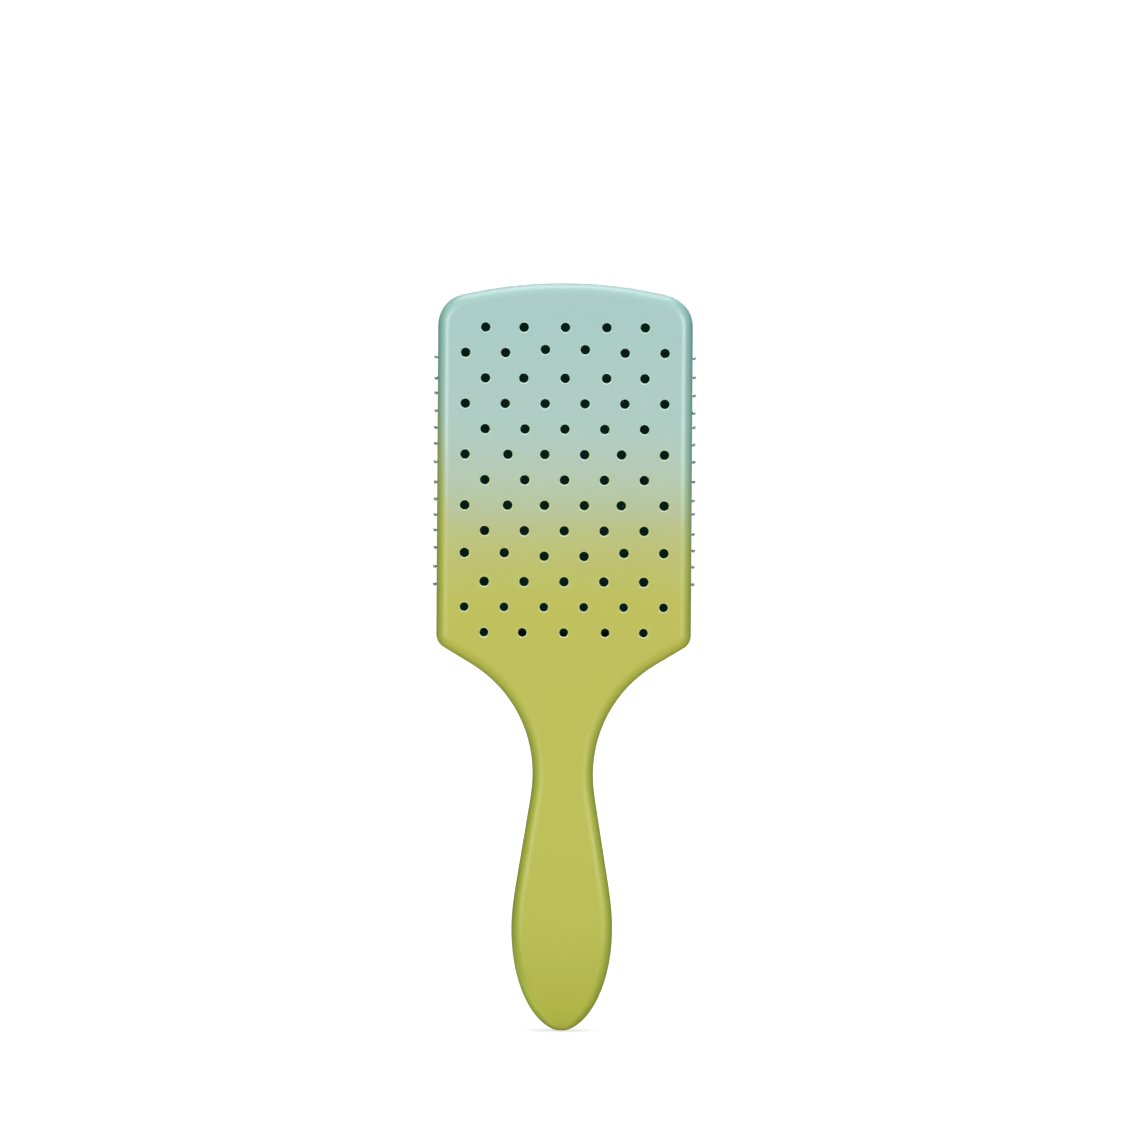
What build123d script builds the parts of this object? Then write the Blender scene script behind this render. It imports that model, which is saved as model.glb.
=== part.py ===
"""Vented paddle hair brush, stored upright: +Z runs from the handle's tip to the top of the head.

The flat vented back faces -Y and the bristles point to +Y. The origin is the centre of the hand grip.
Plan views are drawn on a plane whose own Y is the height above the handle's tip.
The brush is two hollow shells, a domed rubber cushion, the frame that clamps the cushion's edge
inside the front shell, and columns of pins, each pin with a bead bonded to its end.
All lengths are millimetres and all angles are degrees.
"""

import math
import os

from build123d import *

# Whole brush
LENGTH = 250.0
GRIP_HEIGHT = 34.0  # the widest place of the handle, above its tip
WALL = 2.0

# Plan outline of the head
HEAD_HALF = 42.5
HEAD_ARCH_R = 150.0
HEAD_CORNER_R = 11.0
SHOULDER_CORNER_R = 5.0
SHOULDER_ANGLE = 31.0  # the shoulder's slope above the horizontal

# Plan outline of the neck and handle
NECK_HALF = 10.1
NECK_ARC_R = 42.5
NECK_HEIGHT = 86.0  # where the neck is narrowest and the handle starts
WAIST_ARC_R = 50.0
BULB_HALF = 16.85
BULB_ARC_R = 78.0
NOSE_POWER = 0.53  # 0.5 would make the lower end half an ellipse

# Thickness, as Y places on either side of the parting plane Y = 0
BACK_Y = -6.5
HEAD_FRONT_Y = 6.5
GRIP_FRONT_Y = 11.5
TIP_MIDDLE_Y = 1.0
TIP_BACK_LIFT = 2.2
TIP_FRONT_DROP = 1.8
BACK_LIFT_HEIGHT = 38.0  # below this height the back curves forward to the tip
NOSE_HEIGHT = 11.0
TIP_FLAT_HEIGHT = 0.15
EDGE_R = 4.0
GRIP_ROUND_X = 12.5
GRIP_ROUND_Y = 9.0
SECTION_MIN_FLAT = 0.4
# The most that a round corner takes of the handle's half width or of its depth
BACK_ROUND_MOST_ACROSS = 0.8
BACK_ROUND_MOST_DEEP = 0.35
FRONT_ROUND_MOST_DEEP = 0.6
SEAM_CHAMFER = 0.3  # bevel on the rear shell's parting edge, which shows as a fine seam line

# Handle sections are taken at these heights, the lowest ones crowded where the tip closes
HANDLE_STATIONS = [0.0, 0.9, 2.4, 4.8, 8.0, 12.0, 17.0, 23.0]
HANDLE_STATIONS += [30.0, 38.0, 47.0, 56.0, 65.0, 74.0, 80.0, 84.0]

# Vents through the back: alternate rows of 5 and 6, the lowest rows slightly smaller
VENT_R = 1.6
LOW_VENT_R = 1.46
LOW_VENT_ROWS = 2
VENT_EDGE = 0.4
VENT_PITCH = 13.3
VENT_ROW_PITCH = 8.48
VENT_ROWS = 13
VENT_FIRST_HEIGHT = 133.1
VENTS_IN_ODD_ROW = 5
VENTS_IN_EVEN_ROW = 6
VENT_MARGIN = 0.2
# Vents that sit off the even grid, as (row, places from the middle): (outwards, upwards)
VENT_SHIFTS = {
    (0, 1): (0.5, 0),
    (3, 1.5): (0, 1.1),
    (3, 2.5): (0, 1.1),
    (5, 1.5): (-1.0, 0),
    (7, 1.5): (-1.0, 0),
    (10, 1): (0.5, 0),
    (11, 0.5): (0, 1.1),
    (12, 1): (0.5, 0),
}

# Window in the front shell, and the seat around it for the cushion's flange
WINDOW_INSET = 4.0
WINDOW_BOTTOM = 133.0
WINDOW_BOTTOM_R = 9.0
LIP_BACK_Y = HEAD_FRONT_Y - WALL
FLANGE_THICKNESS = 1.4
FRAME_THICKNESS = 2.1
FRAME_FRONT_Y = LIP_BACK_Y - FLANGE_THICKNESS
FRAME_BACK_Y = FRAME_FRONT_Y - FRAME_THICKNESS
SEAT_GROW = 1.8
FRAME_GROW = 1.7
FRAME_INNER_GROW = 0.1
FLANGE_GROW = 1.6

# Rubber cushion
PAD_CROWN_R = 93.0
PAD_TOP_Y = 13.0
PAD_THICKNESS = 1.4
PAD_GAP = 0.3
PAD_EDGE_LEAN = 20.0
DOME_LEAN_Y = 6.0  # the dome's edge is upright below this place and leans inwards above it

# Pins, in columns parallel to Z, each column leaning by its own multiple of COLUMN_STEP
COLUMN_STEP = 3.2
COLUMNS_EACH_SIDE = 7
PIN_PITCH = 5.83
PIN_LOWEST_HEIGHT = 143.27
PINS_IN_ODD_COLUMN = 17
PINS_IN_EVEN_COLUMN = 16
OUTER_COLUMN_TRIM = {6: (1, 1), 7: (1, 2)}  # pins left out at the bottom and the top
PIN_LENGTH = 21.5  # from the cushion's surface to the bead's centre
PIN_BASE_R = 0.5
PIN_END_R = 0.38
PIN_HOLE_R = 0.6
PIN_HEAD_R = 1.1
PIN_HEAD_THICKNESS = 0.8
PIN_HEAD_EDGE = 0.15
PIN_HEAD_GAP = 0.06
BEAD_R = 0.65
BEAD_SOCKET_DEPTH = 0.5
BEAD_SOCKET_R = 0.4
CUSHION_VENT_R = 1.0
AIR_HOLE_EVERY = 2

# Posts that align the shells, as (x, height above the tip)
POST_PLACES = [(0.0, 26.0), (0.0, 60.0), (0.0, 104.0), (-24.0, 127.5), (24.0, 127.5)]
POST_R = 3.0
PEG_R = 1.4
PEG_LENGTH = 2.6
SOCKET_CLEARANCE = 0.06
CLAMP_POST_R = 1.2
CLAMP_POST_GROW = 0.5  # how far outside the window's edge the posts press on the frame
CLAMP_POST_HEIGHTS = [150.0, 172.0, 194.0, 216.0]
CLAMP_END_XS = [-20.0, 20.0]
RIB_HEIGHTS = [14.0, 43.0, 74.0, 92.0, 116.0]
RIB_THICKNESS = 1.2
RIB_TOP_Y = -0.6

TIP_Z = -GRIP_HEIGHT
CROWN_AXIS_Y = PAD_TOP_Y - PAD_CROWN_R
PLAN = Plane(origin=(0, 0, TIP_Z), x_dir=(1, 0, 0), z_dir=(0, -1, 0))
OUTSIDE_Y = 20.0
PIERCE = 1.0  # how far a through cut starts before its wall and ends behind it
TOLERANCE = 0.001


def plan_at(y):
    """The plan plane, moved to a Y place; its own Z points to -Y."""
    return PLAN.offset(-y)


def height_of(shape):
    """The height of a placed shape's centre above the handle's tip."""
    return shape.center().Z - TIP_Z


def lies_at(edge, y):
    """True where the whole edge lies in the plane of that Y."""
    box = edge.bounding_box()
    return abs(box.min.Y - y) < TOLERANCE and abs(box.max.Y - y) < TOLERANCE


# ---------------------------------------------------------------- envelope of the body


def head_face(inset, y):
    """Plan of the head and its shoulders down to NECK_HEIGHT, moved inwards by inset."""
    half = HEAD_HALF - inset
    arch_r = HEAD_ARCH_R - inset
    arch_height = LENGTH - HEAD_ARCH_R
    arch_angle = math.degrees(math.acos(half / arch_r))
    with BuildSketch(plan_at(y)) as face:
        with BuildLine():
            neck = CenterArc(
                (NECK_HALF + NECK_ARC_R, NECK_HEIGHT), NECK_ARC_R + inset, 180, SHOULDER_ANGLE - 90
            )
            start = neck @ 1
            slope = math.tan(math.radians(SHOULDER_ANGLE))
            arch = CenterArc((0, arch_height), arch_r, arch_angle, 90 - arch_angle)
            Polyline(start, (half, start.Y + (half - start.X) * slope), arch @ 0)
            Line((0, NECK_HEIGHT), neck @ 0)
            mirror(about=Plane.YZ)
        make_face()
        corners = face.vertices().filter_by(lambda v: abs(abs(v.X) - half) < TOLERANCE)
        fillet(corners.filter_by(lambda v: v.Y > WINDOW_BOTTOM), HEAD_CORNER_R - inset)
        corners = face.vertices().filter_by(lambda v: abs(abs(v.X) - half) < TOLERANCE)
        fillet(corners.filter_by(lambda v: v.Y < WINDOW_BOTTOM), SHOULDER_CORNER_R - inset)
    return face.sketch


def head_part(inset):
    """Envelope of the head above NECK_HEIGHT, with rounded edges."""
    with BuildPart() as head:
        extrude(head_face(inset, HEAD_FRONT_Y - inset), amount=HEAD_FRONT_Y - BACK_Y - 2 * inset)
        flats = head.faces().filter_by(Axis.Y)
        rims = flats.edges().filter_by(lambda e: height_of(e) > NECK_HEIGHT + TOLERANCE)
        fillet(rims, EDGE_R - inset)
    return head.part


def handle_half_width(height, inset):
    """Half the handle's width at a height above the tip."""
    angle = waist_angle()
    bulb_x = BULB_HALF - BULB_ARC_R
    bulb_r = BULB_ARC_R - inset
    waist_x = NECK_HALF + WAIST_ARC_R
    waist_r = WAIST_ARC_R + inset
    bulb_end = GRIP_HEIGHT + bulb_r * math.sin(angle)
    waist_end = NECK_HEIGHT - waist_r * math.sin(angle)
    if height < GRIP_HEIGHT:
        drop = (GRIP_HEIGHT - height) / (GRIP_HEIGHT - inset)
        return (BULB_HALF - inset) * (1 - drop**2) ** NOSE_POWER
    if height < bulb_end:
        return bulb_x + math.sqrt(bulb_r**2 - (height - GRIP_HEIGHT) ** 2)
    if height < waist_end:
        return bulb_x + bulb_r * math.cos(angle) - (height - bulb_end) * math.tan(angle)
    return waist_x - math.sqrt(waist_r**2 - (NECK_HEIGHT - height) ** 2)


def waist_angle():
    """Slope from the vertical, in radians, of the straight run that joins the bulb and the waist."""
    across = (NECK_HALF + WAIST_ARC_R) - (BULB_HALF - BULB_ARC_R)
    along = NECK_HEIGHT - GRIP_HEIGHT
    lean = math.acos((WAIST_ARC_R + BULB_ARC_R) / math.hypot(across, along))
    return math.atan2(along, across) - lean


def ease(value):
    """A smooth step from 0 to 1."""
    bounded = min(max(value, 0.0), 1.0)
    return bounded**2 * (3 - 2 * bounded)


def handle_depths(height, inset):
    """Y places of the handle's back and front at a height."""
    swell = ease((NECK_HEIGHT - height) / (NECK_HEIGHT - GRIP_HEIGHT))
    front = HEAD_FRONT_Y + (GRIP_FRONT_Y - HEAD_FRONT_Y) * swell - inset
    if height < GRIP_HEIGHT:
        front -= TIP_FRONT_DROP * ((GRIP_HEIGHT - height) / GRIP_HEIGHT) ** 2
    back = BACK_Y + inset
    if height < BACK_LIFT_HEIGHT:
        back += TIP_BACK_LIFT * ((BACK_LIFT_HEIGHT - height) / BACK_LIFT_HEIGHT) ** 2
    if height < NOSE_HEIGHT:
        drop = (NOSE_HEIGHT - height) / (NOSE_HEIGHT - inset)
        closing = math.sqrt(1 - drop**2)
        front = TIP_MIDDLE_Y + (front - TIP_MIDDLE_Y) * closing
        back = TIP_MIDDLE_Y + (back - TIP_MIDDLE_Y) * closing
    return back, front


def handle_section(height, inset):
    """Section across the handle: a flat back with round corners and a broad oval front."""
    half = handle_half_width(height, inset)
    back, front = handle_depths(height, inset)
    swell = ease((NECK_HEIGHT - height) / (NECK_HEIGHT - GRIP_HEIGHT))
    depth = front - back
    back_r = min(EDGE_R - inset, BACK_ROUND_MOST_ACROSS * half, BACK_ROUND_MOST_DEEP * depth)
    round_x = min(EDGE_R + (GRIP_ROUND_X - EDGE_R) * swell - inset, half - SECTION_MIN_FLAT)
    round_y = min(EDGE_R + (GRIP_ROUND_Y - EDGE_R) * swell - inset, FRONT_ROUND_MOST_DEEP * depth)
    with BuildSketch(Plane.XY.offset(TIP_Z + height)) as section:
        with BuildLine():
            Line((0, back), (half - back_r, back))
            CenterArc((half - back_r, back + back_r), back_r, 270, 90)
            Line((half, back + back_r), (half, front - round_y))
            EllipticalCenterArc((half - round_x, front - round_y), round_x, round_y, 0, arc_size=90)
            Line((half - round_x, front), (0, front))
            mirror(about=Plane.YZ)
        make_face()
    return section.sketch


def handle_part(inset):
    """Envelope of the handle from its tip to NECK_HEIGHT."""
    lowest = inset + TIP_FLAT_HEIGHT
    scale = (NECK_HEIGHT - lowest) / NECK_HEIGHT
    with BuildPart() as handle:
        for station in HANDLE_STATIONS + [NECK_HEIGHT]:
            add(handle_section(lowest + station * scale, inset))
        loft()
    return handle.part


def body_part(inset):
    """Envelope of the whole body, moved inwards by inset."""
    with BuildPart() as body:
        add(head_part(inset))
        add(handle_part(inset))
    return body.part


# ---------------------------------------------------------------- plans inside the head


def window_face(grow, y):
    """Plan of the cushion's window, grown outwards by grow."""
    half = HEAD_HALF - WINDOW_INSET + grow
    arch_r = HEAD_ARCH_R - WINDOW_INSET + grow
    top_middle = LENGTH - HEAD_ARCH_R
    bottom_middle = WINDOW_BOTTOM + HEAD_ARCH_R - WINDOW_INSET
    arch_angle = math.degrees(math.acos(half / arch_r))
    with BuildSketch(plan_at(y)) as face:
        with BuildLine():
            top = CenterArc((0, top_middle), arch_r, arch_angle, 90 - arch_angle)
            bottom = CenterArc((0, bottom_middle), arch_r, -arch_angle, arch_angle - 90)
            Line(bottom @ 0, top @ 0)
            mirror(about=Plane.YZ)
        make_face()
        corners = face.vertices().filter_by(lambda v: abs(abs(v.X) - half) < TOLERANCE)
        middle = (top_middle + bottom_middle) / 2
        fillet(corners.filter_by(lambda v: v.Y > middle), HEAD_CORNER_R - WINDOW_INSET + grow)
        corners = face.vertices().filter_by(lambda v: abs(abs(v.X) - half) < TOLERANCE)
        fillet(corners.filter_by(lambda v: v.Y < middle), WINDOW_BOTTOM_R + grow)
    return face.sketch


def discs(places, radius, y):
    """Round plan faces at (x, height) places."""
    with BuildSketch(plan_at(y)) as face:
        with Locations(*places):
            Circle(radius)
    return face.sketch


def clamp_places():
    """Where the rear shell's clamp posts press on the frame, as (x, height)."""
    side_x = HEAD_HALF - WINDOW_INSET + CLAMP_POST_GROW
    arch_r = HEAD_ARCH_R - WINDOW_INSET
    top = LENGTH - WINDOW_INSET + CLAMP_POST_GROW
    bottom = WINDOW_BOTTOM - CLAMP_POST_GROW
    places = []
    for height in CLAMP_POST_HEIGHTS:
        places += [(-side_x, height), (side_x, height)]
    for x in CLAMP_END_XS:
        rise = arch_r - math.sqrt(arch_r**2 - x**2)
        places += [(x, top - rise), (x, bottom + rise)]
    return places


def vent_places(first_row=0, end_row=VENT_ROWS):
    """Centres of the vents in some rows, as (x, height)."""
    places = []
    for row in range(first_row, end_row):
        count = VENTS_IN_EVEN_ROW if row % 2 else VENTS_IN_ODD_ROW
        height = VENT_FIRST_HEIGHT + row * VENT_ROW_PITCH
        for hole in range(count):
            place = hole - (count - 1) / 2
            outwards, upwards = VENT_SHIFTS.get((row, abs(place)), (0, 0))
            x = place * VENT_PITCH + outwards * math.copysign(1, place)
            places.append((x, height + upwards))
    return places


# ---------------------------------------------------------------- rear shell

body = body_part(0)
cavity = body_part(WALL)
inner_back_y = BACK_Y + WALL

with BuildPart() as rear_core:
    add(cavity)
    split(bisect_by=Plane.XZ, keep=Keep.TOP)
    extrude(discs(POST_PLACES, POST_R, 0), amount=-BACK_Y, mode=Mode.SUBTRACT)
    extrude(discs(clamp_places(), CLAMP_POST_R, 0), amount=-BACK_Y, mode=Mode.SUBTRACT)
    with BuildSketch(plan_at(RIB_TOP_Y)):
        with Locations(*[(0, height) for height in RIB_HEIGHTS]):
            Rectangle(2 * HEAD_HALF, RIB_THICKNESS)
    extrude(amount=RIB_TOP_Y - BACK_Y, mode=Mode.SUBTRACT)

with BuildPart() as back_shell:
    add(body)
    split(bisect_by=Plane.XZ, keep=Keep.TOP)
    chamfer(back_shell.edges().filter_by(lambda e: lies_at(e, 0)), SEAM_CHAMFER)
    add(rear_core.part, mode=Mode.SUBTRACT)
    extrude(discs(POST_PLACES, PEG_R, 0), amount=-PEG_LENGTH)
    extrude(discs(clamp_places(), CLAMP_POST_R, 0), amount=-FRAME_BACK_Y)
    low_vents = discs(vent_places(0, LOW_VENT_ROWS), LOW_VENT_R, inner_back_y + PIERCE)
    extrude(low_vents, amount=WALL + 2 * PIERCE, mode=Mode.SUBTRACT)
    high_vents = discs(vent_places(LOW_VENT_ROWS), VENT_R, inner_back_y + PIERCE)
    extrude(high_vents, amount=WALL + 2 * PIERCE, mode=Mode.SUBTRACT)
    mouths = back_shell.edges().filter_by(GeomType.CIRCLE).filter_by(lambda e: lies_at(e, BACK_Y))
    for radius in (LOW_VENT_R, VENT_R):
        chamfer(mouths.filter_by(lambda e: abs(e.radius - radius) < TOLERANCE), VENT_EDGE)

# ---------------------------------------------------------------- front shell

with BuildPart() as front_core:
    add(cavity)
    split(bisect_by=Plane.XZ, keep=Keep.BOTTOM)
    extrude(discs(POST_PLACES, POST_R, 0), amount=-OUTSIDE_Y, mode=Mode.SUBTRACT)

with BuildPart() as front_shell:
    add(body)
    split(bisect_by=Plane.XZ, keep=Keep.BOTTOM)
    add(front_core.part, mode=Mode.SUBTRACT)
    extrude(window_face(0, OUTSIDE_Y), amount=OUTSIDE_Y, mode=Mode.SUBTRACT)
    extrude(window_face(SEAT_GROW, LIP_BACK_Y), amount=LIP_BACK_Y - FRAME_BACK_Y, mode=Mode.SUBTRACT)
    extrude(
        discs(POST_PLACES, PEG_R + SOCKET_CLEARANCE, 0),
        amount=-PEG_LENGTH - SOCKET_CLEARANCE,
        mode=Mode.SUBTRACT,
    )

# ---------------------------------------------------------------- clamp frame and cushion

with BuildPart() as pad_retainer:
    extrude(window_face(FRAME_GROW, FRAME_FRONT_Y), amount=FRAME_THICKNESS)
    extrude(window_face(FRAME_INNER_GROW, FRAME_FRONT_Y), amount=FRAME_THICKNESS, mode=Mode.SUBTRACT)


def crown_part(radius):
    """A cylinder along Z whose surface is the cushion's crown."""
    crown_plane = Plane(origin=(0, CROWN_AXIS_Y, TIP_Z + NECK_HEIGHT))
    with BuildPart() as crown:
        with BuildSketch(crown_plane):
            Circle(radius)
        extrude(amount=LENGTH)
    return crown.part


def dome_part(inset):
    """The cushion's dome, from the flange's back face up, moved inwards by inset."""
    with BuildPart() as dome:
        extrude(
            window_face(-PAD_GAP - inset, DOME_LEAN_Y),
            amount=DOME_LEAN_Y - FRAME_FRONT_Y,
        )
        extrude(
            window_face(-PAD_GAP - inset, DOME_LEAN_Y),
            amount=-PAD_TOP_Y,
            taper=PAD_EDGE_LEAN,
        )
        add(crown_part(PAD_CROWN_R - inset), mode=Mode.INTERSECT)
    return dome.part


def column_plane(column, radius):
    """A plane across a column's pins, at a distance from the crown's axis; its own X is the height."""
    lean = math.radians(column * COLUMN_STEP)
    outwards = (math.sin(lean), math.cos(lean), 0)
    origin = (radius * outwards[0], CROWN_AXIS_Y + radius * outwards[1], TIP_Z)
    return Plane(origin=origin, x_dir=(0, 0, 1), z_dir=outwards)


def pin_heights(column):
    """Heights of a column's pins above the tip."""
    odd = column % 2 == 1
    count = PINS_IN_ODD_COLUMN if odd else PINS_IN_EVEN_COLUMN
    first = PIN_LOWEST_HEIGHT + (0 if odd else PIN_PITCH / 2)
    low_trim, high_trim = OUTER_COLUMN_TRIM.get(abs(column), (0, 0))
    return [first + number * PIN_PITCH for number in range(low_trim, count - high_trim)]


def pin_faces(column, radius, at, heights):
    """Round faces across a column's pins at a distance from the crown's axis."""
    with BuildSketch(column_plane(column, at)) as face:
        with Locations(*[(height, 0) for height in heights]):
            Circle(radius)
    return face.sketch


def air_heights(column):
    """Heights of the air holes between a column's pins, left out where a vent is straight behind."""
    x = PAD_CROWN_R * math.sin(math.radians(column * COLUMN_STEP))
    reach = VENT_R + CUSHION_VENT_R + VENT_MARGIN
    between = [height + PIN_PITCH / 2 for height in pin_heights(column)[:-1]]
    spaced = between[::AIR_HOLE_EVERY]
    return [h for h in spaced if all(math.dist((x, h), vent) > reach for vent in vent_places())]


columns = range(-COLUMNS_EACH_SIDE, COLUMNS_EACH_SIDE + 1)
pad_inner_r = PAD_CROWN_R - PAD_THICKNESS

with BuildPart() as rubber_diaphragm:
    add(dome_part(0))
    extrude(window_face(FLANGE_GROW, LIP_BACK_Y), amount=FLANGE_THICKNESS)
    add(dome_part(PAD_THICKNESS), mode=Mode.SUBTRACT)
    for column in columns:
        heights = pin_heights(column)
        extrude(
            pin_faces(column, PIN_HOLE_R, pad_inner_r - PIERCE, heights),
            amount=PAD_THICKNESS + 2 * PIERCE,
            mode=Mode.SUBTRACT,
        )
        extrude(
            pin_faces(column, CUSHION_VENT_R, pad_inner_r - PIERCE, air_heights(column)),
            amount=PAD_THICKNESS + 2 * PIERCE,
            mode=Mode.SUBTRACT,
        )

# ---------------------------------------------------------------- pins and beads

head_front_r = pad_inner_r - PIN_HEAD_GAP
bead_centre_r = PAD_CROWN_R + PIN_LENGTH
pin_end_r = bead_centre_r - BEAD_R + BEAD_SOCKET_DEPTH
shaft_length = pin_end_r - head_front_r
shaft_lean = math.degrees(math.atan((PIN_BASE_R - PIN_END_R) / shaft_length))


def column_part(column):
    """One column of pins: a head behind the cushion and a tapered shaft through it."""
    heights = pin_heights(column)
    with BuildPart() as pins:
        extrude(
            pin_faces(column, PIN_HEAD_R, head_front_r, heights), amount=-PIN_HEAD_THICKNESS
        )
        chamfer(pins.edges().filter_by(GeomType.CIRCLE), PIN_HEAD_EDGE)
        extrude(
            pin_faces(column, PIN_BASE_R, head_front_r, heights),
            amount=shaft_length,
            taper=shaft_lean,
        )
    return pins.part


def tips_part(column):
    """The beads bonded to the ends of one column's pins."""
    heights = pin_heights(column)
    with BuildPart() as beads:
        with Locations(*[column_plane(column, bead_centre_r) * Pos(height, 0, 0) for height in heights]):
            Sphere(BEAD_R)
        extrude(
            pin_faces(column, BEAD_SOCKET_R, pin_end_r, heights),
            amount=-2 * BEAD_R,
            mode=Mode.SUBTRACT,
        )
    return beads.part


# ---------------------------------------------------------------- labels and files

nodes = {
    "back_shell": back_shell.part,
    "front_shell": front_shell.part,
    "pad_retainer": pad_retainer.part,
    "rubber_diaphragm": rubber_diaphragm.part,
}
for number, column in enumerate(columns, start=1):
    nodes[f"bristle_column_{number:02d}"] = column_part(column)
    nodes[f"bristle_tips_{number:02d}"] = tips_part(column)

os.makedirs("parts", exist_ok=True)
for name, shape in nodes.items():
    shape.label = name
    export_step(shape, f"parts/{name}.step")
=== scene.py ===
import math
import random

import bmesh
import bpy
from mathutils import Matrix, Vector
from mathutils.bvhtree import BVHTree


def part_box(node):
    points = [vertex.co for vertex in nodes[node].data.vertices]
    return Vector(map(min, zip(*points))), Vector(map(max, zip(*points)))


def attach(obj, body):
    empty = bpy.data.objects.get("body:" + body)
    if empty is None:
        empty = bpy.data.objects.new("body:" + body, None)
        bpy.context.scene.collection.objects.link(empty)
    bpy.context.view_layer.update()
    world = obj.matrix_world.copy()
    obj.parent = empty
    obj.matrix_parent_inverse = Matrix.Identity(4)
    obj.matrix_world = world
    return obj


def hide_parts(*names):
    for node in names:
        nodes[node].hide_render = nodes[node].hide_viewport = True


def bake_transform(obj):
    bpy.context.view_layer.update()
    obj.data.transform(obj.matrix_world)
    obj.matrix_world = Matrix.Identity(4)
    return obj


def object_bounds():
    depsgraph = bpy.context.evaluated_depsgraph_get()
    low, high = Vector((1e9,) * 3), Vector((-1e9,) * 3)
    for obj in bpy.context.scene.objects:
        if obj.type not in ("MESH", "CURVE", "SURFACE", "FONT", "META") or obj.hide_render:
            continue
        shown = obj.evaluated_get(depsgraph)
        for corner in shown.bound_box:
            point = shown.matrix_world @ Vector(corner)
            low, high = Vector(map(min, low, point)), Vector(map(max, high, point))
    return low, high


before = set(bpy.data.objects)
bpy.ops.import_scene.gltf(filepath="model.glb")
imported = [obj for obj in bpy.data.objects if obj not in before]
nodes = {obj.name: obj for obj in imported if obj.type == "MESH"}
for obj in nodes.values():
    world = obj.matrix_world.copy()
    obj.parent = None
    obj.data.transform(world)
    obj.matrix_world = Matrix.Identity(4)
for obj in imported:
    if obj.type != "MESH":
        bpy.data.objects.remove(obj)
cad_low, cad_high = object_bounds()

# Vented paddle hair brush: the shells keep their CAD shape and get the fade paint, and the rubber
# cushion, the pins and the beads are rebuilt here as finished pieces. Lengths are in metres.

MM = 0.001
random.seed(813)
BACK_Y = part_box("back_shell")[0].y
UP = Vector((0, 0, 1))

# Sizes that the rebuilt pieces share with the CAD part
CROWN_R = 93.0 * MM
CROWN_AXIS_Y = -80.0 * MM
COLUMN_STEP = math.radians(3.2)
COLUMNS = range(-7, 8)
PIN_PITCH = 5.83 * MM
PIN_LOWEST = 143.27 * MM
ODD_PINS, EVEN_PINS = 17, 16
TRIMS = {6: (1, 1), 7: (1, 2)}
HEAD_FRONT_R = CROWN_R - 1.46 * MM
BEAD_CENTRE_R = CROWN_R + 21.5 * MM
BEAD_R = 0.65 * MM
HEAD_MIDDLE = 189 * MM
TIP_OFFSET = -34.0 * MM  # the handle's tip in the frame

# The back's vents: rows of 5 and 6 in turn. Some vents are off the even grid: for a row and a vent's
# place from the middle line, the shift is outwards and up, in millimetres.
VENT_ROWS = 13
VENTS_IN_ODD_ROW, VENTS_IN_EVEN_ROW = 6, 5
VENT_PITCH = 13.3 * MM
VENT_ROW_PITCH = 8.48 * MM
VENT_LOWEST = 133.1 * MM
VENT_SHIFTS = {
    (0, 1): (0.5, 0),
    (3, 1.5): (0, 1.1),
    (3, 2.5): (0, 1.1),
    (5, 1.5): (-1.0, 0),
    (7, 1.5): (-1.0, 0),
    (10, 1): (0.5, 0),
    (11, 0.5): (0, 1.1),
    (12, 1): (0.5, 0),
}


# ------------------------------------------------------------------ small helpers


def new_object(name, verts, faces, smooth=True):
    mesh = bpy.data.meshes.new(name)
    mesh.from_pydata([tuple(v) for v in verts], [], faces)
    mesh.update()
    if smooth:
        mesh.polygons.foreach_set("use_smooth", [True] * len(mesh.polygons))
    obj = bpy.data.objects.new(name, mesh)
    bpy.context.scene.collection.objects.link(obj)
    return obj


def ring(middle, across, up, radius, sides):
    """Points on a circle about a middle point, in the plane of two directions."""
    angles = [2 * math.pi * i / sides for i in range(sides)]
    return [middle + (across * math.cos(a) + up * math.sin(a)) * radius for a in angles]


def lathe(rings, sides, close_ends=True):
    """Vertices and faces of a tube through rings of points, closed at both ends or open."""
    verts = [p for points in rings for p in points]
    faces = []
    for k in range(len(rings) - 1):
        for i in range(sides):
            j = (i + 1) % sides
            faces.append((k * sides + i, k * sides + j, (k + 1) * sides + j, (k + 1) * sides + i))
    if close_ends:
        faces.append(tuple(reversed(range(sides))))
        last = (len(rings) - 1) * sides
        faces.append(tuple(range(last, last + sides)))
    return verts, faces


def joined(name, parts, smooth=True):
    """One mesh object from several (verts, faces) lists."""
    verts, faces = [], []
    for part_verts, part_faces in parts:
        start = len(verts)
        verts += part_verts
        faces += [tuple(start + i for i in face) for face in part_faces]
    return new_object(name, verts, faces, smooth)


def within(value, limit):
    """The value, kept between minus the limit and the limit."""
    return max(-limit, min(limit, value))


# ------------------------------------------------------------------ materials


def linear(r, g, b):
    """A linear colour from 8-bit display values."""
    made = []
    for value in (r, g, b):
        v = value / 255
        made.append(v / 12.92 if v <= 0.04045 else ((v + 0.055) / 1.055) ** 2.4)
    return (*made, 1.0)


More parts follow.
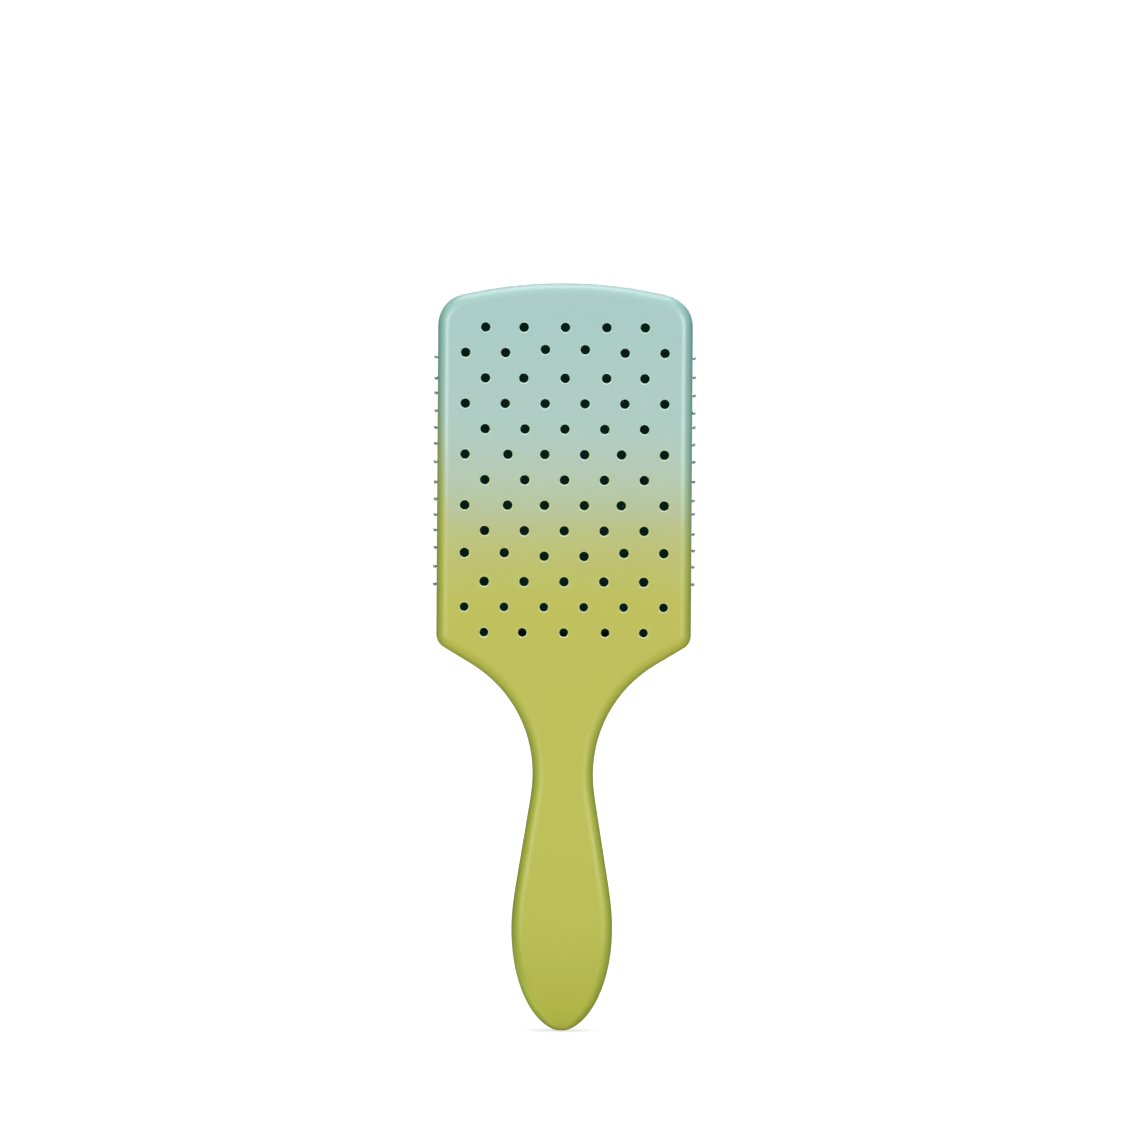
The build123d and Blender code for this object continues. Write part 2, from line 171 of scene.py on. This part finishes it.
class Shader:
    """A material's node tree, with short calls to add and join nodes."""

    def __init__(self, name):
        self.material = bpy.data.materials.new(name)
        self.material.use_nodes = True
        self.tree = self.material.node_tree
        self.tree.nodes.clear()
        self.out = self.add("ShaderNodeOutputMaterial")
        self.surface = self.add("ShaderNodeBsdfPrincipled")
        self.join(self.surface.outputs["BSDF"], self.out.inputs["Surface"])
        self.place = self.add("ShaderNodeTexCoord").outputs["Object"]

    def add(self, kind, **values):
        node = self.tree.nodes.new(kind)
        for key, value in values.items():
            setattr(node, key, value)
        return node

    def join(self, source, target):
        self.tree.links.new(source, target)

    def feed(self, socket, value):
        if isinstance(value, bpy.types.NodeSocket):
            self.join(value, socket)
        else:
            socket.default_value = value

    def math(self, operation, a, b=0.0, c=0.0, clamp=False):
        node = self.add("ShaderNodeMath", operation=operation, use_clamp=clamp)
        for socket, value in zip(node.inputs, (a, b, c)):
            self.feed(socket, value)
        return node.outputs[0]

    def noise(self, scale, detail=2.0, roughness=0.5):
        node = self.add("ShaderNodeTexNoise")
        self.join(self.place, node.inputs["Vector"])
        node.inputs["Scale"].default_value = scale
        node.inputs["Detail"].default_value = detail
        node.inputs["Roughness"].default_value = roughness
        return node.outputs["Fac"]

    def spread(self, value, low, high):
        """A 0 to 1 value moved to low to high."""
        node = self.add("ShaderNodeMapRange")
        self.feed(node.inputs["Value"], value)
        node.inputs["To Min"].default_value = low
        node.inputs["To Max"].default_value = high
        return node.outputs["Result"]

    def step(self, value, start, end, low, high):
        """A smooth rise from low to high while the value goes from start to end."""
        node = self.add("ShaderNodeMapRange", interpolation_type="SMOOTHSTEP")
        self.feed(node.inputs["Value"], value)
        for name, limit in (("From Min", start), ("From Max", end), ("To Min", low), ("To Max", high)):
            node.inputs[name].default_value = limit
        return node.outputs["Result"]

    def ramp(self, value, stops):
        node = self.add("ShaderNodeValToRGB")
        self.feed(node.inputs["Fac"], value)
        elements = node.color_ramp.elements
        while len(elements) < len(stops):
            elements.new(1.0)
        for element, (position, colour) in zip(elements, stops):
            element.position = position
            element.color = colour
        return node.outputs["Color"]

    def mixed(self, factor, a, b, blend_type="MIX"):
        node = self.add("ShaderNodeMix", data_type="RGBA", blend_type=blend_type)
        for name, value in (("Factor", factor), ("A", a), ("B", b)):
            self.feed(node.inputs[name], value)
        return node.outputs["Result"]

    def scaled_colour(self, colour, amount):
        """A colour made lighter or darker by an amount near 1."""
        node = self.add("ShaderNodeVectorMath", operation="SCALE")
        self.feed(node.inputs[0], colour)
        self.feed(node.inputs["Scale"], amount)
        return node.outputs["Vector"]

    def bump(self, height, distance, strength=1.0):
        node = self.add("ShaderNodeBump")
        node.inputs["Strength"].default_value = strength
        node.inputs["Distance"].default_value = distance
        self.feed(node.inputs["Height"], height)
        self.join(node.outputs["Normal"], self.surface.inputs["Normal"])

    def set(self, name, value):
        self.feed(self.surface.inputs[name], value)


# Paint colours by height above the tip, in millimetres
FADE = [
    # the stops below 14 mm are lighter: painted light that offsets the shade where the handle's tip curves
    # under
    (0.0, (204, 209, 84)),
    (3.8, (194, 199, 73)),
    (7.0, (191, 196, 69)),
    (14.0, (187, 191, 66)),
    (25.0, (189, 193, 70)),
    (36.0, (193, 195, 72)),
    (67.0, (195, 197, 77)),
    (90.0, (195, 196, 78)),
    (142.0, (194, 194, 79)),
    (147.7, (193, 196, 89)),
    (153.1, (192, 196, 98)),
    (158.4, (192, 196, 108)),
    (163.8, (190, 198, 120)),
    (169.1, (189, 197, 136)),
    (174.4, (187, 201, 156)),
    (179.8, (184, 204, 167)),
    (185.1, (184, 206, 179)),
    (195.8, (181, 208, 194)),
    (206.5, (177, 209, 200)),
    (244.0, (172, 207, 202)),
]
LENGTH_MM = 250.0
AQUA_START, AQUA_END = 160 * MM, 200 * MM
LEFT_FADE_SHIFT = 30 * MM  # how much higher the fade sits on the left wall
SPRAY_WANDER = 6 * MM
PEEL_DEPTH = 0.012 * MM
# colours the side walls are multiplied by: partly a deeper paint tone, partly painted shade
WALL_TINT_AND_SHADE_LIME, WALL_TINT_AND_SHADE_AQUA = (0.76, 0.95, 0.62, 1.0), (0.48, 0.88, 0.80, 1.0)
# paler colours mixed into the vents' bevels as a painted highlight
VENT_HIGHLIGHT_LIME, VENT_HIGHLIGHT_AQUA = (0.78, 0.90, 0.42, 1.0), (0.66, 0.97, 0.84, 1.0)


def fade_paint(name, painted_highlight):
    """The sprayed fade; lift mixes in a paler colour, a painted highlight as on a crisp edge that catches
    the light.
    """
    s = Shader(name)
    split = s.add("ShaderNodeSeparateXYZ")
    s.join(s.place, split.inputs[0])
    normal = s.add("ShaderNodeSeparateXYZ")
    s.join(s.add("ShaderNodeNewGeometry").outputs["Normal"], normal.inputs[0])
    # the fade sits higher on the left-facing walls
    left = s.math("MULTIPLY", normal.outputs["X"], -1.0, clamp=True)
    wander = s.spread(s.noise(14.0, 2.0), -SPRAY_WANDER, SPRAY_WANDER)
    lowered = s.math("MULTIPLY_ADD", left, -LEFT_FADE_SHIFT, wander)
    height = s.math("SUBTRACT", s.math("ADD", split.outputs["Z"], lowered), TIP_OFFSET)
    share = s.math("DIVIDE", height, LENGTH_MM * MM, clamp=True)
    stops = [(mm / LENGTH_MM, linear(*colour)) for mm, colour in FADE]
    colour = s.ramp(share, stops)
    # the side walls are painted deeper and darker: partly a deeper paint tone, partly painted shade where
    # less light reaches them
    wall = s.math("POWER", s.math("ABSOLUTE", normal.outputs["X"]), 1.5)
    aqua = s.step(height, AQUA_START, AQUA_END, 0.0, 1.0)
    wall_tint_and_shade = s.ramp(aqua, [(0.0, WALL_TINT_AND_SHADE_LIME), (1.0, WALL_TINT_AND_SHADE_AQUA)])
    colour = s.mixed(wall, colour, wall_tint_and_shade, "MULTIPLY")
    cloud = s.spread(s.noise(32.0, 3.0), 0.985, 1.015)
    grain = s.spread(s.noise(2600.0, 2.0, 0.6), 0.975, 1.02)
    if painted_highlight:
        # painted highlight: the colour is mixed towards a paler one
        pale = s.ramp(aqua, [(0.0, VENT_HIGHLIGHT_LIME), (1.0, VENT_HIGHLIGHT_AQUA)])
        colour = s.mixed(painted_highlight, colour, pale)
    # the undersides are painted lighter: painted light that stands in for light from below
    under = s.math("MULTIPLY", normal.outputs["Z"], -0.35, clamp=True)
    tone_and_underside_light = s.math("MULTIPLY", s.math("MULTIPLY", cloud, grain), s.math("ADD", under, 1.0))
    s.set("Base Color", s.scaled_colour(colour, tone_and_underside_light))
    mottle = s.spread(s.noise(55.0, 4.0, 0.6), -0.03, 0.03)
    s.set("Roughness", s.math("ADD", s.spread(aqua, 0.42, 0.31), mottle))
    s.set("Specular IOR Level", 0.6)
    peel = s.math("MULTIPLY_ADD", s.noise(900.0, 2.0, 0.5), 0.6, s.noise(4200.0, 2.0, 0.6))
    s.bump(peel, PEEL_DEPTH, 0.5)
    return s.material


MOULD_GRAIN = 0.01 * MM
RUBBER_GRAIN = 0.02 * MM
SCATTER_COLOUR = (0.12, 1.0, 0.6, 1.0)


def moulded(name, colour, roughness, level, scatter=0.0):
    """Moulded plastic; scatter is the faint light that stands for what bounces about in the hollow."""
    s = Shader(name)
    cloud = s.spread(s.noise(60.0, 3.0), 0.85, 1.15)
    s.set("Base Color", s.scaled_colour(colour, cloud))
    s.set("Roughness", s.spread(s.noise(240.0, 4.0, 0.6), roughness - 0.06, roughness + 0.06))
    s.set("Specular IOR Level", level)
    s.set("Emission Color", SCATTER_COLOUR)
    s.set("Emission Strength", scatter)
    s.bump(s.noise(2400.0, 3.0, 0.6), MOULD_GRAIN, 0.6)
    return s.material


def cushion_rubber():
    s = Shader("cushion_rubber")
    cloud = s.spread(s.noise(45.0, 4.0), 0.75, 1.25)
    dust = s.spread(s.noise(700.0, 3.0, 0.7), 0.9, 1.15)
    s.set("Base Color", s.scaled_colour((0.016, 0.019, 0.019), s.math("MULTIPLY", cloud, dust)))
    s.set("Roughness", s.spread(s.noise(120.0, 4.0, 0.6), 0.42, 0.6))
    s.set("Specular IOR Level", 0.45)
    s.bump(s.noise(1500.0, 3.0, 0.6), RUBBER_GRAIN, 0.5)
    return s.material


def nylon(name, colour, roughness, clearness):
    s = Shader(name)
    tint = s.spread(s.noise(350.0, 2.0), 0.85, 1.18)
    s.set("Base Color", s.scaled_colour(colour, tint))
    s.set("Roughness", s.spread(s.noise(900.0, 3.0), roughness - 0.05, roughness + 0.05))
    s.set("Transmission Weight", clearness)
    s.set("IOR", 1.53)
    s.set("Specular IOR Level", 0.5)
    return s.material


PAINT = fade_paint("fade_paint", 0.0)
# a lighter copy of the fade for the vents' bevels: a painted highlight ring
VENT_HIGHLIGHT_PAINT = fade_paint("vent_highlight_paint", 0.72)
# the inside plastic's faint glow is painted light for what bounces about in the hollow
INSIDE = moulded("inside_plastic", (0.006, 0.020, 0.017), 0.5, 0.25, scatter=0.0115)
FRAME_PLASTIC = moulded("frame_plastic", (0.010, 0.012, 0.012), 0.42, 0.4)
RUBBER = cushion_rubber()
PIN_NYLON = nylon("pin_nylon", (0.25, 0.41, 0.40), 0.28, 0.35)
BEAD_NYLON = nylon("bead_nylon", (0.45, 0.68, 0.65), 0.1, 0.6)


# ------------------------------------------------------------------ shells


SHELLS = ("back_shell", "front_shell")
CLOSED = [nodes[name].data for name in (*SHELLS, "pad_retainer", "rubber_diaphragm")]
RAY_START = 0.02 * MM
RAY_LENGTH = 120 * MM
LIP_BACK_Y = 4.5 * MM
LIP_LOWEST = TIP_OFFSET + 100 * MM
BEVEL_REACH = 2.2 * MM
BEVEL_DEPTH = 0.6 * MM
PAINTED, BARE, BEVEL = 0, 1, 2  # a shell's material slots


def tree_of(meshes):
    """A search tree over all polygons of some meshes."""
    verts, faces = [], []
    for mesh in meshes:
        start = len(verts)
        verts += [v.co.copy() for v in mesh.vertices]
        faces += [tuple(start + i for i in p.vertices) for p in mesh.polygons]
    return BVHTree.FromPolygons(verts, faces)


def vent_places():
    """Centres of the back's vents, as (x, z)."""
    places = []
    for row in range(VENT_ROWS):
        count = VENTS_IN_ODD_ROW if row % 2 else VENTS_IN_EVEN_ROW
        for hole in range(count):
            place = hole - (count - 1) / 2
            out_mm, up_mm = VENT_SHIFTS.get((row, abs(place)), (0, 0))
            x = place * VENT_PITCH + out_mm * MM * math.copysign(1, place)
            z = TIP_OFFSET + VENT_LOWEST + row * VENT_ROW_PITCH + up_mm * MM
            places.append((x, z))
    return places


VENTS = vent_places()
ENCLOSURE = tree_of(CLOSED)


def paint_slot(polygon):
    """The outside is painted, the hollow's faces are bare, and the bevels around the vents get a painted
    highlight.
    """
    centre, normal = polygon.center, polygon.normal
    if centre.y > LIP_BACK_Y + RAY_START and centre.z > LIP_LOWEST:
        return PAINTED
    if centre.y < BACK_Y + BEVEL_DEPTH and 0.5 < -normal.y < 0.9:
        if any(math.dist((centre.x, centre.z), vent) < BEVEL_REACH for vent in VENTS):
            return BEVEL
    hit = ENCLOSURE.ray_cast(centre + normal * RAY_START, normal, RAY_LENGTH)
    return PAINTED if hit[0] is None else BARE


for name in SHELLS:
    obj = nodes[name]
    obj.data.materials.clear()
    for material in (PAINT, INSIDE, VENT_HIGHLIGHT_PAINT):
        obj.data.materials.append(material)
    for polygon in obj.data.polygons:
        polygon.material_index = paint_slot(polygon)
nodes["pad_retainer"].data.materials.clear()
nodes["pad_retainer"].data.materials.append(FRAME_PLASTIC)


# ------------------------------------------------------------------ pins and beads


def pin_heights(column):
    odd = column % 2 == 1
    first = PIN_LOWEST + (0 if odd else PIN_PITCH / 2)
    low, high = TRIMS.get(abs(column), (0, 0))
    count = ODD_PINS if odd else EVEN_PINS
    return [first + k * PIN_PITCH for k in range(low, count - high)]


def outwards(column):
    lean = column * COLUMN_STEP
    return Vector((math.sin(lean), math.cos(lean), 0.0))


def on_column(column, radius, height):
    return Vector((0, CROWN_AXIS_Y, TIP_OFFSET + height)) + outwards(column) * radius


# A pin's flared head: radius, and distance out along the pin, in millimetres
HEAD_PROFILE = [(0.35, -0.8), (0.95, -0.8), (1.1, -0.66), (1.1, -0.14), (0.96, 0.0), (0.56, 0.02)]
SHAFT_STEPS = 9
PIN_SIDES = 12
SHAFT_BASE, SHAFT_END = 0.5 * MM, 0.38 * MM
BEAD_SIDES = 16
BEAD_STEPS = 10
BEAD_NECK = 0.12
# A pin's unevenness, in millimetres: the spread and the most of its sway and droop, then its bow, and
# how much shorter it may be
SWAY_SPREAD, SWAY_MOST = 0.3, 0.35
DROOP_SPREAD, DROOP_MOST = 0.6, 1.0
BOW_MOST = 0.25
SHORTER_MOST = 0.2
OUTER_COLUMN = 6  # from this column on, the pins lean inwards, and less
OUTER_SWAY, OUTER_DROOP = 0.4, 0.7


class Pin:
    """One slightly uneven pin, with its head behind the rubber and its bead at the end."""

    def __init__(self, column, height):
        self.out = outwards(column)
        self.across = Vector((self.out.y, -self.out.x, 0.0))
        self.foot = on_column(column, HEAD_FRONT_R, height)
        inward = -1 if column > 0 else 1
        self.sway = within(random.gauss(0, SWAY_SPREAD), SWAY_MOST) * MM
        self.droop = within(random.gauss(0, DROOP_SPREAD), DROOP_MOST) * MM
        if abs(column) >= OUTER_COLUMN:
            self.sway = inward * abs(self.sway) * OUTER_SWAY
            self.droop *= OUTER_DROOP
        self.bow = random.uniform(-BOW_MOST, BOW_MOST) * MM
        self.reach = BEAD_CENTRE_R - HEAD_FRONT_R - random.uniform(0.0, SHORTER_MOST) * MM
        self.bead_r = BEAD_R * random.uniform(0.96, 1.0)

    def point(self, t):
        """A point on the pin's line, from its foot at 0 to its bead's centre at 1."""
        lean = t**1.6
        curve = math.sin(math.pi * t)
        aside = self.sway * lean + self.bow * curve * 0.5
        rise = self.droop * lean + self.bow * curve
        return self.foot + self.out * self.reach * t + self.across * aside + UP * rise

    def shaft(self):
        rings = []
        for radius, along in HEAD_PROFILE:
            middle = self.foot + self.out * along * MM
            rings.append(ring(middle, self.across, UP, radius * MM, PIN_SIDES))
        for step in range(SHAFT_STEPS + 1):
            t = 0.01 + 0.98 * step / SHAFT_STEPS
            radius = SHAFT_BASE + (SHAFT_END - SHAFT_BASE) * t
            rings.append(ring(self.point(t), self.across, UP, radius, PIN_SIDES))
        return lathe(rings, PIN_SIDES)

    def bead(self):
        end = self.point(1.0)
        direction = (end - self.point(0.9)).normalized()
        side = direction.cross(UP).normalized()
        over = side.cross(direction)
        size = self.bead_r
        rings = []
        for k in range(1, BEAD_STEPS):
            a = math.pi * k / BEAD_STEPS
            neck = BEAD_NECK * (1 + math.cos(a)) / 2
            middle = end - direction * size * (math.cos(a) + neck)
            rings.append(ring(middle, side, over, size * math.sin(a), BEAD_SIDES))
        verts, faces = lathe(rings, BEAD_SIDES, close_ends=False)
        low_end, high_end = len(verts), len(verts) + 1
        last = low_end - BEAD_SIDES
        verts += [end - direction * size, end + direction * size]
        for i in range(BEAD_SIDES):
            j = (i + 1) % BEAD_SIDES
            faces.append((low_end, j, i))
            faces.append((high_end, last + i, last + j))
        return verts, faces


for number, column in enumerate(COLUMNS, start=1):
    pins = [Pin(column, height) for height in pin_heights(column)]
    tag = f"{number:02d}"
    body = f"bristles_{tag}"
    pin_obj = joined(f"bristle_pins_{tag}", [pin.shaft() for pin in pins])
    pin_obj.data.materials.append(PIN_NYLON)
    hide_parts(f"bristle_column_{tag}")
    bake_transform(pin_obj)
    bead_obj = joined(f"bristle_beads_{tag}", [pin.bead() for pin in pins])
    bead_obj.data.materials.append(BEAD_NYLON)
    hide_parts(f"bristle_tips_{tag}")
    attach(bead_obj, body)


# ------------------------------------------------------------------ rubber cushion

WINDOW_HALF = 38.2 * MM
WINDOW_TOP_R = 6.7 * MM
WINDOW_BOTTOM_R = 8.7 * MM
ARCH_R = 145.7 * MM
TOP_MIDDLE = 100.0 * MM
BOTTOM_MIDDLE = 279.0 * MM
EDGE_Y = 4.7 * MM
PAD_THICKNESS = 1.4 * MM
ROLL_CORNER = 12 * MM  # the dome's rolled edge turns the window's corners in this radius
ROLL_LEAST, ROLL_MOST = 0.6 * MM, 6.0 * MM
CORNER_EASE = 0.985  # keeps a little of the roll at the window's corners
FLANGE_Y = 4.1 * MM
FLANGE_REACH = 1.6 * MM


def edge_height(x, corner_r):
    """Rise of the window's end edge towards its middle line, from an arch with a rounded corner."""
    x = abs(x)
    centre_x = WINDOW_HALF - corner_r
    # the corner circle touches the arch from inside
    drop = math.sqrt((ARCH_R - corner_r) ** 2 - centre_x**2)
    touch_x = centre_x * ARCH_R / (ARCH_R - corner_r)
    if x < touch_x:
        return math.sqrt(ARCH_R**2 - x**2)
    return drop + math.sqrt(max(0.0, corner_r**2 - (x - centre_x) ** 2))


def window_top(x):
    return TOP_MIDDLE + edge_height(x, WINDOW_TOP_R)


def window_bottom(x):
    return BOTTOM_MIDDLE - edge_height(x, WINDOW_BOTTOM_R)


def crown_y(x):
    return CROWN_AXIS_Y + math.sqrt(CROWN_R**2 - x * x)


def dome_point(x, h):
    """The rubber's outer face: the crown, rolled down to the window's edge all round."""
    from_side = WINDOW_HALF - abs(x)
    from_end = min(window_top(x) - h, h - window_bottom(x))
    inside = min(from_side, from_end)
    a = max(0.0, ROLL_CORNER - from_side)
    b = max(0.0, ROLL_CORNER - from_end)
    if a > 0 and b > 0:
        inside = max(0.0, min(inside, ROLL_CORNER - math.hypot(a, b) * CORNER_EASE))
    rise = crown_y(x) - EDGE_Y
    width = min(max(rise * 0.8, ROLL_LEAST), ROLL_MOST)
    t = min(inside / width, 1.0)
    return Vector((x, EDGE_Y + rise * math.sqrt(max(0.0, 1 - (1 - t) ** 2)), TIP_OFFSET + h))


ACROSS, ALONG = 150, 210  # the dome's faces over its width and its length


def spaced(count):
    """Values from -1 to 1, closer together near both ends."""
    made = []
    for i in range(count + 1):
        t = -1 + 2 * i / count
        made.append(0.55 * t + 0.45 * math.sin(t * math.pi / 2))
    return made


def cushion_mesh():
    xs = [t * WINDOW_HALF for t in spaced(ACROSS)]
    vs = spaced(ALONG)
    verts, faces = [], []
    for x in xs:
        low, high = window_bottom(x), window_top(x)
        for v in vs:
            verts.append(dome_point(x, low + (high - low) * (v + 1) / 2))
    row = ALONG + 1
    for i in range(ACROSS):
        for j in range(ALONG):
            a = i * row + j
            faces.append((a, a + 1, a + row + 1, a + row))
    # rim: down to the flange, then out under the shell's lip
    border = [i * row for i in range(ACROSS + 1)]
    border += [ACROSS * row + j for j in range(1, row)]
    border += [i * row + ALONG for i in range(ACROSS - 1, -1, -1)]
    border += [j for j in range(ALONG - 1, 0, -1)]
    centre = Vector((0, 0, TIP_OFFSET + HEAD_MIDDLE))
    loops = [border]
    count = len(border)
    for grow in (0.0, FLANGE_REACH):
        start = len(verts)
        for k, index in enumerate(border):
            p = verts[index]
            before, after = verts[border[k - 1]], verts[border[(k + 1) % count]]
            along = Vector((after.x - before.x, 0, after.z - before.z))
            side = Vector((along.z, 0, -along.x))
            if side.length > 0:
                side.normalize()
            if side.dot(p - centre) < 0:
                side = -side
            verts.append(Vector((p.x, FLANGE_Y, p.z)) + side * grow)
        loops.append(list(range(start, start + count)))
    for inner, outer in zip(loops, loops[1:]):
        for k in range(count):
            n = (k + 1) % count
            faces.append((inner[k], outer[k], outer[n], inner[n]))
    return verts, faces


AIR_HOLE_R = 1.0 * MM
AIR_HOLE_CLEARANCE = 2.8 * MM  # from a vent's middle line
ROUND_SIDES = 20


def facing_out(mesh):
    """Turns the mesh's faces all one way, with the dome's towards the front."""
    work = bmesh.new()
    work.from_mesh(mesh)
    bmesh.ops.recalc_face_normals(work, faces=work.faces)
    if sum(f.normal.y for f in work.faces) < 0:
        bmesh.ops.reverse_faces(work, faces=work.faces)
    work.to_mesh(mesh)
    work.free()


def air_hole_cutters():
    """Rods where the air holes go: between every other pair of pins, clear of the vents in the back."""
    rods = []
    for column in COLUMNS:
        out = outwards(column)
        across = Vector((out.y, -out.x, 0.0))
        x = CROWN_R * math.sin(column * COLUMN_STEP)
        for pin_height in pin_heights(column)[:-1:2]:
            height = pin_height + PIN_PITCH / 2
            here = (x, TIP_OFFSET + height)
            if any(math.dist(here, vent) <= AIR_HOLE_CLEARANCE for vent in VENTS):
                continue
            ends = [on_column(column, radius, height) for radius in (CROWN_R - 4 * MM, CROWN_R + 2 * MM)]
            rings = [ring(middle, across, UP, AIR_HOLE_R, ROUND_SIDES) for middle in ends]
            rods.append(lathe(rings, ROUND_SIDES))
    return rods


def finished_dome():
    """The dome at its thickness, with its air holes cut."""
    piece = new_object("diaphragm_dome", *cushion_mesh())
    facing_out(piece.data)
    solid = piece.modifiers.new("thickness", "SOLIDIFY")
    solid.thickness = PAD_THICKNESS * 0.98  # a little clear of the pins' heads
    solid.offset = -1.0
    solid.use_even_offset = False
    cutter = joined("air_cutter", air_hole_cutters(), smooth=False)
    hole = piece.modifiers.new("air_holes", "BOOLEAN")
    hole.operation = "DIFFERENCE"
    hole.solver = "EXACT"
    hole.object = cutter
    graph = bpy.context.evaluated_depsgraph_get()
    finished = bpy.data.meshes.new_from_object(piece.evaluated_get(graph), depsgraph=graph)
    piece.modifiers.clear()
    piece.data = finished
    bpy.data.objects.remove(cutter)
    finished.materials.clear()
    for material in (RUBBER, INSIDE):
        finished.materials.append(material)
    # the back faces, seen through the vents, take the inside plastic with its painted glow
    for polygon in finished.polygons:
        polygon.material_index = 1 if polygon.normal.y < -0.2 else 0
    finished.polygons.foreach_set("use_smooth", [True] * len(finished.polygons))
    finished.set_sharp_from_angle(angle=math.radians(40))
    return piece


# A collar's section: radius, and height above the rubber's outer face, in millimetres
COLLAR = [
    (1.32, -0.12),
    (1.22, 0.05),
    (1.0, 0.24),
    (0.8, 0.36),
    (0.64, 0.4),
    (0.54, 0.34),
    (0.52, 0.1),
    (0.52, -0.3),
]


def pin_collars():
    """A raised collar where each pin comes out of the rubber."""
    made = []
    for column in COLUMNS:
        out = outwards(column)
        across = Vector((out.y, -out.x, 0.0))
        for height in pin_heights(column):
            rings = []
            for radius, along in COLLAR:
                middle = on_column(column, CROWN_R + along * MM, height)
                rings.append(ring(middle, across, UP, radius * MM, ROUND_SIDES))
            made.append(lathe(rings, ROUND_SIDES, close_ends=False))
    return made


dome = finished_dome()
collar = joined("diaphragm_collars", pin_collars())
collar.data.materials.append(RUBBER)

for piece in (dome, collar):
    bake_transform(piece)
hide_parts("rubber_diaphragm")


# ------------------------------------------------------------------ floor, light and camera

FLOOR_HALF = 30.0
FLOOR_CORNERS = [(-1, -1), (1, -1), (1, 1), (-1, 1)]
WHITE = (1.0, 1.0, 1.0, 1.0)
SHADOW_START, SHADOW_END = 4 * MM, 22 * MM
SHADOW_LEVEL, FLOOR_LEVEL = 0.72, 0.95


def pale_floor():
    """Lit like a white sweep from under it: evenly white, with a small soft painted shadow under the
    brush.
    """
    s = Shader("pale_floor")
    s.set("Base Color", (0.16, 0.162, 0.165, 1.0))
    s.set("Roughness", 0.9)
    s.set("Specular IOR Level", 0.1)
    s.set("Emission Color", WHITE)
    flat = s.add("ShaderNodeVectorMath", operation="MULTIPLY")
    s.join(s.place, flat.inputs[0])
    flat.inputs[1].default_value = (1.0, 1.0, 0.0)
    distance = s.add("ShaderNodeVectorMath", operation="LENGTH")
    s.join(flat.outputs["Vector"], distance.inputs[0])
    # painted shadow: the glow is dimmer close under the brush's tip
    shadow = s.step(distance.outputs["Value"], SHADOW_START, SHADOW_END, SHADOW_LEVEL, FLOOR_LEVEL)
    sweep = s.step(distance.outputs["Value"], 0.15, 1.6, 0.0, 0.2)
    # bright where it is seen, dim as a lamp, so that it doesn't light the brush from below
    rays = s.add("ShaderNodeLightPath").outputs
    seen = s.math("MAXIMUM", rays["Is Camera Ray"], rays["Is Transmission Ray"])
    spill = s.math("MULTIPLY_ADD", seen, 0.9, 0.1)
    s.set("Emission Strength", s.math("MULTIPLY", s.math("ADD", shadow, sweep), spill))
    return s.material


def background(tree, colour, strength):
    node = tree.nodes.new("ShaderNodeBackground")
    node.inputs["Color"].default_value = colour
    node.inputs["Strength"].default_value = strength
    return node


def studio_world():
    """A white backdrop where it is seen, and a dim, slightly cool fill elsewhere."""
    world = bpy.data.worlds.new("studio")
    world.use_nodes = True
    tree = world.node_tree
    tree.nodes.clear()
    world_out = tree.nodes.new("ShaderNodeOutputWorld")
    backdrop = background(tree, WHITE, 1.05)
    fill = background(tree, (0.97, 0.985, 1.0, 1.0), 0.08)
    path = tree.nodes.new("ShaderNodeLightPath")
    seen = tree.nodes.new("ShaderNodeMath")
    seen.operation = "MAXIMUM"
    mix = tree.nodes.new("ShaderNodeMixShader")
    tree.links.new(path.outputs["Is Camera Ray"], seen.inputs[0])
    tree.links.new(path.outputs["Is Transmission Ray"], seen.inputs[1])
    tree.links.new(seen.outputs[0], mix.inputs["Fac"])
    tree.links.new(fill.outputs[0], mix.inputs[1])
    tree.links.new(backdrop.outputs[0], mix.inputs[2])
    tree.links.new(mix.outputs[0], world_out.inputs["Surface"])
    return world


corners = [(x * FLOOR_HALF, y * FLOOR_HALF, cad_low.z) for x, y in FLOOR_CORNERS]
floor = new_object("floor", corners, [(0, 1, 2, 3)], smooth=False)
floor.data.materials.append(pale_floor())

bpy.context.scene.world = studio_world()


def softbox(name, place, target, width, height, watts):
    data = bpy.data.lights.new(name, "AREA")
    data.shape = "RECTANGLE"
    data.size = width
    data.size_y = height
    data.energy = watts
    obj = bpy.data.objects.new(name, data)
    bpy.context.scene.collection.objects.link(obj)
    obj.location = place
    obj.rotation_mode = "QUATERNION"
    obj.rotation_quaternion = (Vector(target) - Vector(place)).to_track_quat("-Z", "Y")


aim = (0.0, 0.0, 0.11)
softbox("side_left", (-1.08, -1.80, 0.25), aim, 1.0, 1.35, 27.8)
softbox("side_right", (1.08, -1.80, 0.25), aim, 1.0, 1.35, 27.3)
softbox("top", (0.0, -0.15, 1.7), aim, 1.5, 1.2, 16.6)
softbox("behind", (0.3, 2.2, 1.3), aim, 1.8, 1.2, 30.0)

FRAME_WIDTH = 0.3752  # what the square picture spans, at the depth FRAME_Y
FRAME_Y = -3 * MM
DISTANCE = 3.0
AIM_X = -0.00068
AIM_HEIGHT = 156.64 * MM
ROLL = math.radians(-0.36)
camera_data = bpy.data.cameras.new("camera")
camera_data.sensor_width = 36.0
camera_data.lens = camera_data.sensor_width * DISTANCE / FRAME_WIDTH
camera_data.clip_end = 50.0
camera = bpy.data.objects.new("camera", camera_data)
bpy.context.scene.collection.objects.link(camera)
camera.location = (AIM_X, FRAME_Y - DISTANCE, TIP_OFFSET + AIM_HEIGHT)
camera.rotation_euler = (math.radians(90), ROLL, 0)
bpy.context.scene.camera = camera

scene = bpy.context.scene
scene.view_settings.view_transform = "Standard"
scene.view_settings.look = "None"
scene.cycles.use_denoising = True
